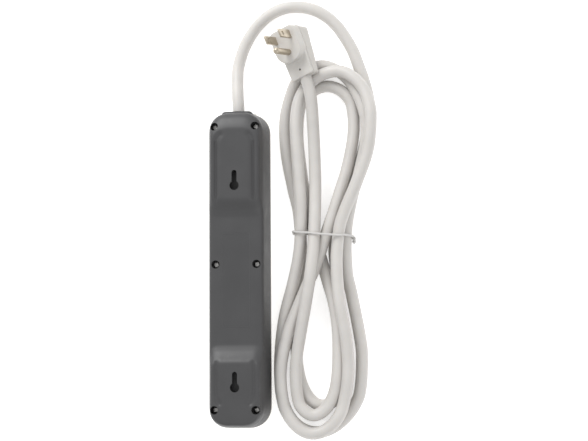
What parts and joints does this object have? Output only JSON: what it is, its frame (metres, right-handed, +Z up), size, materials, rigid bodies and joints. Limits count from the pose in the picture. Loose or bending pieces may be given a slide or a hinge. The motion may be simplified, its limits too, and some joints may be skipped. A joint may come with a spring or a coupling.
{
  "type": "surge protector strip",
  "caption": "Slim surge protector strip lying on its outlet face, grey back cover with keyholes, mains lead tied in a hank and a grounded right-angle plug.",
  "frame": {"origin": "middle of the strip's underside, where its outlet face rests on the surface", "axes": "+Y along the strip towards the end the lead leaves, +X across it towards the hank, +Z up through the back cover"},
  "size_m": [0.131, 0.3356, 0.0515],
  "materials": {
    "cover_grey": "moulded, faint grain",
    "cover_white": "moulded, satin",
    "bushing_grey": "soft satin",
    "screw_steel": "zinc plated",
    "lead_vinyl": "soft vinyl jacket",
    "plug_vinyl": "moulded vinyl",
    "plug_metal": "nickel plated",
    "tie_white": "plastic coated wire",
    "contact_brass": "rolled strip",
    "fibre_sheet": "pressed fibre",
    "board_green": "coated laminate",
    "varistor_blue": "dipped coating",
    "fuse_metal": "drawn can",
    "capacitor_yellow": "moulded box",
    "lens_green": "clear tinted",
    "led_green": "clear epoxy",
    "switch_black": "moulded nylon",
    "rocker_red": "tinted clear",
    "lamp_glass": "clear",
    "wire_black": "thin vinyl",
    "wire_white": "thin vinyl",
    "wire_green": "thin vinyl"
  },
  "bodies": {
    "strip": {"front_cover": "cover_white", "back_cover": "cover_grey", "cover_screws": "screw_steel", "cord_bushing": "bushing_grey", "cord_clamp": "cover_white", "clamp_screws": "screw_steel", "line_bus_bar": "contact_brass", "neutral_bus_bar": "contact_brass", "ground_bus_bar": "contact_brass", "insulating_sheet": "fibre_sheet", "surge_board": "board_green", "varistors": "varistor_blue", "thermal_fuse": "fuse_metal", "filter_capacitor": "capacitor_yellow", "indicator_led": "led_green", "light_pipe": "lens_green", "switch_housing": "switch_black", "switch_terminals": "contact_brass", "switch_lamp": "lamp_glass", "line_wire": "wire_black", "switched_line_wire": "wire_black", "neutral_wire": "wire_white", "ground_wire": "wire_green", "cord": "lead_vinyl", "cord_hank": "lead_vinyl", "cord_tie": "tie_white", "plug_body": "plug_vinyl", "plug_line_blade": "plug_metal", "plug_neutral_blade": "plug_metal", "plug_ground_pin": "plug_metal"},
    "rocker": {"switch_rocker": "rocker_red"}
  },
  "joints": [
    {"name": "rocker_tip", "type": "hinge", "parent": "strip", "child": "rocker", "pos_m": [0, 0.088, 0.006], "axis": [1, 0, 0], "range_deg": [0, 16]}
  ]
}
